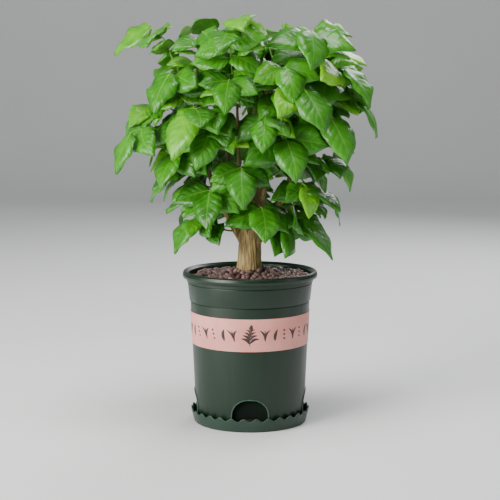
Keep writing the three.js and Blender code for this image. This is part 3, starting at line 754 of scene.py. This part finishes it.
def straight(start, angle, length, bow=0.0):
    """A path from a point, at an angle, bowed to one side."""
    run = Vector((math.cos(angle), math.sin(angle)))
    side = Vector((-run.y, run.x))
    return lambda share: start + run * length * share + side * bow * math.sin(math.pi * share)


def leaf_width(widest):
    """A leaf's half width along its path, none at either end."""
    return lambda share: widest * math.sin(math.pi * min(share, 1) ** 0.8) ** 0.8


def printed_sprig(made, centre, tall, pairs):
    """An upright twig with pairs of leaves and one at its top."""
    foot = Vector((centre, -tall / 2))
    stem = straight(foot, TWIG_LEAN, tall * 0.72, 1.2)
    printed_shape(made, lambda share: 0.45, stem)
    for i in range(pairs):
        share = 0.12 + 0.8 * i / pairs
        length = tall * (0.5 - 0.06 * i)
        for side in (-1, 1):
            angle = TWIG_LEAN - math.radians(side * (60 - 6 * i))
            leaf = straight(stem(share + 0.05 * (side > 0)), angle, length, side * 2.4)
            printed_shape(made, leaf_width(length * 0.13), leaf)
    printed_shape(made, leaf_width(tall * 0.09), straight(stem(1), math.radians(84), tall * 0.3, 0.5))


def printed_ornament(made, centre, tall, kind):
    """One of the plain marks in the row beside the twig: a leaf pair, a single leaf, or three berries."""
    foot = Vector((centre, -tall / 2))
    if kind == LEAF_PAIR:
        for side in (-1, 1):
            leaf = straight(foot, math.radians(90 - side * 26), tall * 1.05, side * 2.6)
            printed_shape(made, leaf_width(tall * 0.1), leaf)
        printed_shape(made, lambda share: 0.5, straight(foot, math.radians(90), tall * 0.9))
    elif kind == SINGLE_LEAF:
        printed_shape(made, leaf_width(tall * 0.14), straight(foot, math.radians(76), tall, 1.8))
    else:
        for up in (0.16, 0.5, 0.84):
            berry = Vector((centre - 2, -tall / 2 + tall * up))
            printed_shape(made, leaf_width(1.3), straight(berry, 0, 3.2), 6)


def make_print():
    """The print round the band: twigs, and rows of plain marks between them."""
    made = bmesh.new()
    around = 2 * math.pi * (pot_radius(BAND_LOW + BAND_TALL / 2) + BAND_GAP)
    room = around / TWIGS - TWIG_ROOM
    for i in range(TWIGS):
        centre = i * around / TWIGS
        printed_sprig(made, centre, TWIG_TALL, TWIG_PAIRS)
        for k, kind in enumerate(MARKS):
            across = centre + TWIG_ROOM / 2 + room * (k + 0.5) / len(MARKS)
            printed_ornament(made, across, MARK_TALL, kind)
    bmesh.ops.recalc_face_normals(made, faces=made.faces)
    printed = piece_from("band_print", made, [BAND_INK])
    skin = printed.modifiers.new("ink", "SOLIDIFY")
    skin.thickness = INK_THICK * MM
    skin.offset = 0
    apply_modifiers(printed)
    return printed


stands_for(make_band(), "band_print", "label_band")
stands_for(make_print(), "band_print")


# ----------------------------------------------------------------------------------------------------
# Soil and clay pebbles
# ----------------------------------------------------------------------------------------------------


def merged_copy(node):
    """The node's solid as a bmesh whose loose triangles are joined."""
    made = bmesh.new()
    made.from_mesh(cad[node].data)
    bmesh.ops.remove_doubles(made, verts=made.verts, dist=0.002 * MM)
    return made


def give_tone(mesh, values):
    """A number for every vertex, which the materials read."""
    layer = mesh.attributes.new("tone", "FLOAT", "POINT")
    layer.data.foreach_set("value", values)


cad["soil"].data.materials.clear()
cad["soil"].data.materials.append(SOIL)

PEBBLE_SPACING = 8.0 * MM
PEBBLE_ROW = 0.87  # rows lie closer than columns, as packed beads do
PEBBLE_STRAY = 0.3  # of the spacing
PEBBLE_INSET = 3.6 * MM  # from the edge of the bed
PEBBLE_LOWEST = 14 * MM  # under the rim
PEBBLE_SHAPES = 9
PEBBLE_LAYERS = ((4.0 * MM, 4.8 * MM), (-1.0 * MM, 4.7 * MM))  # depth under the bed's surface, radius


def pebble_shapes():
    """A few irregular granules, of about unit radius."""
    shapes = []
    for number in range(PEBBLE_SHAPES):
        made = bmesh.new()
        bmesh.ops.create_icosphere(made, subdivisions=2, radius=1)
        drift = Vector((number * 7.3, 2.1, 5.7))
        for vert in made.verts:
            swell = 0.34 * noise.noise(vert.co * 1.1 + drift) + 0.1 * noise.noise(vert.co * 2.7 + drift)
            vert.co *= 1 + swell
        mesh = bpy.data.meshes.new("granule")
        made.to_mesh(mesh)
        made.free()
        shapes.append(mesh)
    return shapes


def make_pebbles():
    """Loose granules in two layers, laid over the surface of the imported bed."""
    bed = merged_copy("clay_pebbles")
    surface = BVHTree.FromBMesh(bed)
    bed.free()
    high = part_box("clay_pebbles")[1]
    outer = high.x - PEBBLE_INSET
    shapes = pebble_shapes()
    made = bmesh.new()
    tones = []
    for sunk, size in PEBBLE_LAYERS:
        rows = int(outer / PEBBLE_SPACING) + 1
        for row in range(-rows, rows + 1):
            for column in range(-rows - 1, rows + 2):
                shift = 0.5 * (row % 2) + (0.37 if sunk < 2 * MM else 0)
                stray_x = random.uniform(-PEBBLE_STRAY, PEBBLE_STRAY)
                stray_y = random.uniform(-PEBBLE_STRAY, PEBBLE_STRAY)
                x = (column + shift + stray_x) * PEBBLE_SPACING
                y = (row * PEBBLE_ROW + stray_y) * PEBBLE_SPACING
                if math.hypot(x, y) > outer:
                    continue
                hit = surface.ray_cast(Vector((x, y, RIM_TOP + 0.05)), Vector((0, 0, -1)))[0]
                if hit is None or hit.z < RIM_TOP - PEBBLE_LOWEST:
                    continue
                radius = size * random.uniform(0.78, 1.14)
                matrix = Matrix.Translation((x, y, hit.z - sunk + random.uniform(-0.8, 0.8) * MM))
                axis = Vector((random.random(), random.random(), 0.3))
                turn = Matrix.Rotation(random.uniform(0, 2 * math.pi), 4, axis)
                broad, thick = random.uniform(0.72, 0.95), random.uniform(0.6, 0.85)
                stretch = Matrix.Diagonal((radius, radius * broad, radius * thick, 1))
                before = len(made.verts)
                made.from_mesh(random.choice(shapes))
                made.verts.ensure_lookup_table()
                bmesh.ops.transform(made, matrix=matrix @ turn @ stretch, verts=made.verts[before:])
                tones += [random.random()] * (len(made.verts) - before)
    pebbles = piece_from("clay_pebbles_loose", made, [CLAY])
    give_tone(pebbles.data, tones)
    return pebbles


stands_for(make_pebbles(), "fired_clay", "clay_pebbles")


# ----------------------------------------------------------------------------------------------------
# Trunk and shoots
# ----------------------------------------------------------------------------------------------------

TRUNK_TOP = RIM_TOP + 62 * MM
OLD_BARK_ENDS = TRUNK_TOP + 12 * MM
OLD_BARK_FADES = 30 * MM  # over this height
TRUNK_REACH = 30 * MM  # old bark lies no further from the axis
WOOD_VOXEL = 1.0 * MM
WOOD_EASE = 7  # smoothing passes


def make_wood():
    """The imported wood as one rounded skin, with ridged, knotted bark low down on the trunk."""
    wood = piece_from("trunk_bark", merged_copy("trunk_and_shoots"), [BARK])
    skin = wood.modifiers.new("skin", "REMESH")
    skin.mode = "VOXEL"
    skin.voxel_size = WOOD_VOXEL
    ease = wood.modifiers.new("ease", "SMOOTH")
    ease.factor = 0.5
    ease.iterations = WOOD_EASE
    apply_modifiers(wood)
    mesh = wood.data
    skin_points = [(vert.co.copy(), vert.normal.copy()) for vert in mesh.vertices]
    placed = []
    for spot, out in skin_points:
        around = math.atan2(spot.y, spot.x)
        away = math.hypot(spot.x, spot.y)
        old = min(max((OLD_BARK_ENDS - spot.z) / OLD_BARK_FADES, 0), 1) * (away < TRUNK_REACH)
        ring = Vector((math.cos(around) * 5, math.sin(around) * 5, spot.z / (9 * MM)))
        fibre = noise.noise(Vector((ring.x * 1.6, ring.y * 1.6, spot.z / (16 * MM))))
        knot = noise.noise(spot / (11 * MM))
        grain = noise.noise(Vector((ring.x * 4, ring.y * 4, spot.z / (7 * MM))))
        push = old * (0.75 * fibre + 0.5 * knot + 0.35 * grain) + (1 - old) * 0.22 * knot
        placed.extend(spot + out * (0.5 * old + push) * MM)
    mesh.vertices.foreach_set("co", placed)
    mesh.polygons.foreach_set("use_smooth", [True] * len(mesh.polygons))
    mesh.update()
    return wood


wood = make_wood()
stands_for(wood, "bark", "trunk_and_shoots")


# ----------------------------------------------------------------------------------------------------
# Leaves
# ----------------------------------------------------------------------------------------------------

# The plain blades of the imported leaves: each has six points in pairs, set a blade's thickness apart.
BLADE_THICK = 0.9 * MM
LOWER_ROW, UPPER_ROW, UPPER_WIDTH, FOLD = 0.4, 0.74, 0.66, 0.3
POINTS_PER_BLADE = 6
MOST_MATES = 11  # pairs of points tried together for one blade
PAIR_SLACK = 0.002 * MM
PARALLEL = 0.999998  # cosine
REACH = 70 * MM  # between a blade's furthest points
FIT = 0.2 * MM

LEAF_THICK = 0.5 * MM
LEAF_SPREAD = 1.06  # how much wider a leaflet is than the plain blade it stands for
LEAF_NARROWEST = 0.35 * MM  # half of its width at the base
ALONG, ACROSS = 12, 4  # faces of a leaflet's skin
FULLEST = 0.4  # where a leaflet is widest, as a share of its length
TIP_STARTS = 0.6  # where the tip begins to bend down
CROWN_REACH = 150 * MM
YOUNG_SHARE, YOUNG_TONE = 0.09, 0.4  # the few lime leaflets, and how much lighter they are

# How each leaflet differs from the next: the least and the most of each habit.
HABITS = {
    "phase": (0, 6.28), "sway": (-0.18, 0.18), "wave": (0.04, 0.15), "waves": (1.4, 2.6),
    "twist": (-0.3, 0.3), "tip": (0, 1.6), "cup": (0.12, 0.4), "roll": (0.3, 1.5), "droop": (0.7, 1.25),
}

RIB_AT = (0, 0.12, 0.35, 0.6, 0.82)  # shares of the leaflet's length
RIB_RADII = (0.75 * MM, 0.7 * MM, 0.5 * MM, 0.34 * MM, 0.2 * MM)
STALK_ROOT = 1.9 * MM  # radius where it joins the wood
STALK_BASE, STALK_TAPER = 1.35, 0.65  # millimetres: its radius above the root, and how much goes by its end
STALK_SUNK = 1.0 * MM
STALK_BROWNS = 30 * MM  # from the wood
KNOT_SPACING = 3.0 * MM
MOUTH_RING = 4 * MM  # corners this close together are the stalk's end
CLEAR_OF_MOUTH = 8 * MM
ROD_SIDE = 2.6 * MM  # longest side of the plain stalk's section
ROUND_SLACK = 0.12 * MM
ROD_POINTS = 3


def node_points(node):
    """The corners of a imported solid."""
    made = merged_copy(node)
    points = np.array([v.co for v in made.verts])
    made.free()
    return points


def paired_points(points):
    """Every two points a blade's thickness apart, as (first, second, direction)."""
    gaps = np.linalg.norm(points[:, None] - points[None], axis=2)
    first, second = np.where(np.triu(np.abs(gaps - BLADE_THICK) < PAIR_SLACK, 1))
    return [(i, j, Vector((points[i] - points[j]) / gaps[i, j])) for i, j in zip(first, second)]


def blades_of(points):
    """The leaflets of one leaf, found from its paired points, and the points left over."""
    pairs = paired_points(points)
    taken, found = set(), []
    for i, j, run in pairs:
        middle = Vector((points[i] + points[j]) / 2)
        mates = []
        for m, (a, b, other) in enumerate(pairs):
            centre = Vector((points[a] + points[b]) / 2)
            if m not in taken and abs(run.dot(other)) > PARALLEL and (centre - middle).length < REACH:
                mates.append((m, centre))
        choices = itertools.combinations(mates[:MOST_MATES], POINTS_PER_BLADE)
        fitted = [(blade_misfit(choice, run), choice) for choice in choices]
        misfit, best = min(fitted, key=lambda entry: entry[0], default=(1, None))
        if misfit < FIT:
            taken.update(m for m, _ in best)
            found.append(read_blade([centre for _, centre in best], run))
    used = {p for m in taken for p in pairs[m][:2]}
    return found, [Vector(p) for n, p in enumerate(points) if n not in used]


def blade_misfit(choice, run):
    """How far six middles are from the six points of the blade that they would make."""
    spots = [centre for _, centre in choice]
    blade = read_blade(spots, run)
    expected = []
    corners = [(LOWER_ROW, width) for width in (0, 1, -1)] + [(UPPER_ROW, 1), (UPPER_ROW, -1), (1, 0)]
    for share, width in corners:
        side = width * blade["width"] / 2 * (UPPER_WIDTH if share == UPPER_ROW else 1)
        lift = FOLD * abs(side) - blade["drop"] * share * share
        reach = blade["along"] * share * blade["length"]
        expected.append(blade["base"] + reach + blade["across"] * side + blade["face"] * lift)
    return max(min((spot - place).length for spot in spots) for place in expected)


def read_blade(spots, face):
    """One leaflet's place and size from the middles of its six pairs."""
    spots = sorted(spots, key=lambda spot: max((spot - other).length for other in spots))
    middle = spots.pop(0)
    spots.sort(key=lambda spot: (spot - middle).length)
    low_a, low_b, tip = spots[0], spots[1], spots[-1]
    if ((low_a + low_b) / 2 - middle).dot(face) < 0:
        face = -face
    run = tip - middle
    along = (run - face * run.dot(face)).normalized()
    across = face.cross(along)
    length = run.dot(along) / (1 - LOWER_ROW)
    drop = -run.dot(face) / (1 - LOWER_ROW**2)
    base = middle - along * LOWER_ROW * length + face * drop * LOWER_ROW**2
    width = abs((low_a - low_b).dot(across))
    return {
        "base": base, "along": along, "across": across, "face": face,
        "length": length, "width": width, "drop": drop,
    }


def half_width(share):
    """A leaflet's outline: broad and rounded at its base, drawn out to a fine tip."""
    if share < FULLEST:
        return max(1 - (1 - share / FULLEST) ** 2.4, 0) ** 0.6
    rest = (share - FULLEST) / (1 - FULLEST)
    return max(1 - rest**2.1, 0) ** 1.16


def leaflet_template():
    """A flat skin from a grid, with its map: u along the leaflet, v across it."""
    made = bmesh.new()
    made.loops.layers.uv.new("UVMap")
    bmesh.ops.create_grid(made, x_segments=ALONG, y_segments=ACROSS, size=1, calc_uvs=True)
    mesh = bpy.data.meshes.new("leaflet_skin")
    made.to_mesh(mesh)
    made.free()
    return mesh


def leaflet_point(blade, mood, u, v):
    """Where a point of the skin lies: u from base to tip, v from edge to edge, -1 to 1."""
    length, half = blade["length"], blade["width"] / 2 * LEAF_SPREAD
    side = abs(v)
    ripple = 1 + 0.02 * math.sin(15 * u + mood["phase"] * (2 if v > 0 else 1)) * side
    y = v * max(half * half_width(u) * ripple, LEAF_NARROWEST * (1 - 0.6 * u))
    sway = mood["sway"] * length * (u * u - u)
    lift = -blade["drop"] * mood["droop"] * u * u
    lift += mood["cup"] * abs(y) * (1 - 0.4 * side) * (1 - 0.3 * u)
    lift -= 0.2 * half * side**3 * mood["roll"]
    swing = math.sin(2 * math.pi * (mood["waves"] * u + v * 0.25) + mood["phase"])
    lift += mood["wave"] * swing * side**1.8 * half * (1 - u**8)
    lift += mood["twist"] * y * (u - 0.3)
    lift -= 0.07 * length * (max(u - TIP_STARTS, 0) / (1 - TIP_STARTS)) ** 2 * mood["tip"]
    place = blade["base"] + blade["along"] * (u * length)
    return place + blade["across"] * (y + sway) + blade["face"] * lift


def leaflet_tone(blade):
    """From 0, deep green low and inside the crown, to 1, the lime green of a young leaflet; height, reach
    and an upturned face make it lighter, as painted light from above and painted shade inside the crown,
    beside the young growth and chance.
    """
    tip = blade["base"] + blade["along"] * blade["length"]
    height = (tip.z - RIM_TOP) / (cad_bounds[1][2] - RIM_TOP)
    away = math.hypot(tip.x, tip.y) / CROWN_REACH
    painted_top_light = 0.5 + 0.5 * blade["face"].z
    # Painted shade low and inside the crown, painted light on upturned leaflets.
    tone = 0.18 + 0.16 * height**2 + 0.16 * away * height + 0.08 * painted_top_light + random.gauss(0, 0.12)
    if random.random() < YOUNG_SHARE * (0.4 + height):
        tone += YOUNG_TONE
    return min(max(tone, 0.02), 1)


def draw_leaflets(node, blades, template):
    """All leaflets of one leaf as a thin two-sided skin, and the line of each one's midrib."""
    made = bmesh.new()
    made.from_mesh(template)
    made.clear()  # leaves the map's layer
    tones, ribs = [], []
    for blade in blades:
        mood = {habit: random.uniform(*ends) for habit, ends in HABITS.items()}
        before = len(made.verts)
        made.from_mesh(template)
        made.verts.ensure_lookup_table()
        for vert in made.verts[before:]:
            vert.co = leaflet_point(blade, mood, (vert.co.x + 1) / 2, vert.co.y)
        tones += [leaflet_tone(blade)] * (len(made.verts) - before)
        under = blade["face"] * 0.9 * LEAF_THICK
        ribs.append([leaflet_point(blade, mood, u, 0) - under for u in RIB_AT])
    leaf = piece_from(node + "_leaflets", made, [LEAF_TOP, LEAF_UNDER, STALK])
    give_tone(leaf.data, tones)
    skin = leaf.modifiers.new("blade", "SOLIDIFY")
    skin.thickness = LEAF_THICK
    skin.offset = -1
    skin.material_offset = 1
    skin.material_offset_rim = 0
    apply_modifiers(leaf)
    return leaf, ribs


def stalk_mouth(loose, wood_skin):
    """The middle of the end of the plain stalk that meets the wood."""
    start = min(loose, key=lambda spot: wood_skin.find_nearest(spot)[3])
    ring = [spot for spot in loose if (spot - start).length < MOUTH_RING]
    return sum(ring, Vector()) / len(ring)


def stalk_line(blades, loose, mouth, wood_skin):
    """The knots of a leaf's stalk, from inside the wood out to the last leaflet, and their radii."""

    def from_mouth(spot):
        return (spot - mouth).length

    bases = sorted((blade["base"] for blade in blades), key=from_mouth)
    root = wood_skin.find_nearest(mouth)[0]
    knots = [root + (root - mouth).normalized() * STALK_SUNK, mouth]
    middle = [spot for spot in rod_rings(loose) if CLEAR_OF_MOUTH < from_mouth(spot)]
    knots = thinned(knots + sorted(middle + bases, key=from_mouth), KNOT_SPACING)
    radii = [STALK_ROOT]
    radii += [(STALK_BASE - STALK_TAPER * i / len(knots)) * MM for i in range(1, len(knots))]
    return knots, radii


def make_leaf(node, template, wood_skin):
    """One leaf, with its leaflets and stalks, and how many leaflets it has."""
    blades, loose = blades_of(node_points(node))
    leaf, ribs = draw_leaflets(node, blades, template)
    mouth = stalk_mouth(loose, wood_skin)
    knots, radii = stalk_line(blades, loose, mouth, wood_skin)
    sizes = [RIB_RADII] * len(ribs) + [radii]
    stalks = swept(node + "_stalk", ribs + [knots], sizes, STALK, 1)

    joined = bmesh.new()
    joined.from_mesh(leaf.data)
    split = len(joined.verts)
    joined.from_mesh(stalks)
    tone_layer = joined.verts.layers.float.get("tone")
    joined.verts.ensure_lookup_table()
    for vert in joined.verts[split:]:
        vert[tone_layer] = min((vert.co - mouth).length / STALK_BROWNS, 1)
    joined.faces.ensure_lookup_table()
    for face in joined.faces[len(leaf.data.polygons):]:
        face.material_index = 2
    bpy.data.objects.remove(leaf)
    whole = piece_from(node + "_foliage", joined, [LEAF_TOP, LEAF_UNDER, STALK])
    return whole, len(blades)


def rod_rings(loose):
    """Centres of the plain stalk's whole rings: three points, evenly set about one another."""
    rings = []
    for first in loose:
        near = [spot for spot in loose if 0 < (spot - first).length < ROD_SIDE]
        if len(near) == ROD_POINTS - 1:
            centre = (first + near[0] + near[1]) / ROD_POINTS
            reach = [(spot - centre).length for spot in (first, *near)]
            is_round = max(reach) - min(reach) < ROUND_SLACK
            if is_round and all((centre - other).length > 1 * MM for other in rings):
                rings.append(centre)
    return rings


def thinned(knots, least):
    """The knots, with those that crowd the one before left out."""
    kept = knots[:1]
    for knot in knots[1:]:
        if (knot - kept[-1]).length >= least or len(kept) == 1:
            kept.append(knot)
    return kept


template = leaflet_template()
wood_points = [vert.co for vert in wood.data.vertices]
wood_skin = BVHTree.FromPolygons(wood_points, [face.vertices[:] for face in wood.data.polygons])
counts = []
for node in sorted(n for n in cad if n.startswith("leaf_")):
    leaf, count = make_leaf(node, template, wood_skin)
    counts.append(count)
    stands_for(leaf, "leaf_blade", node)
print("leaflets found", sum(counts), counts)
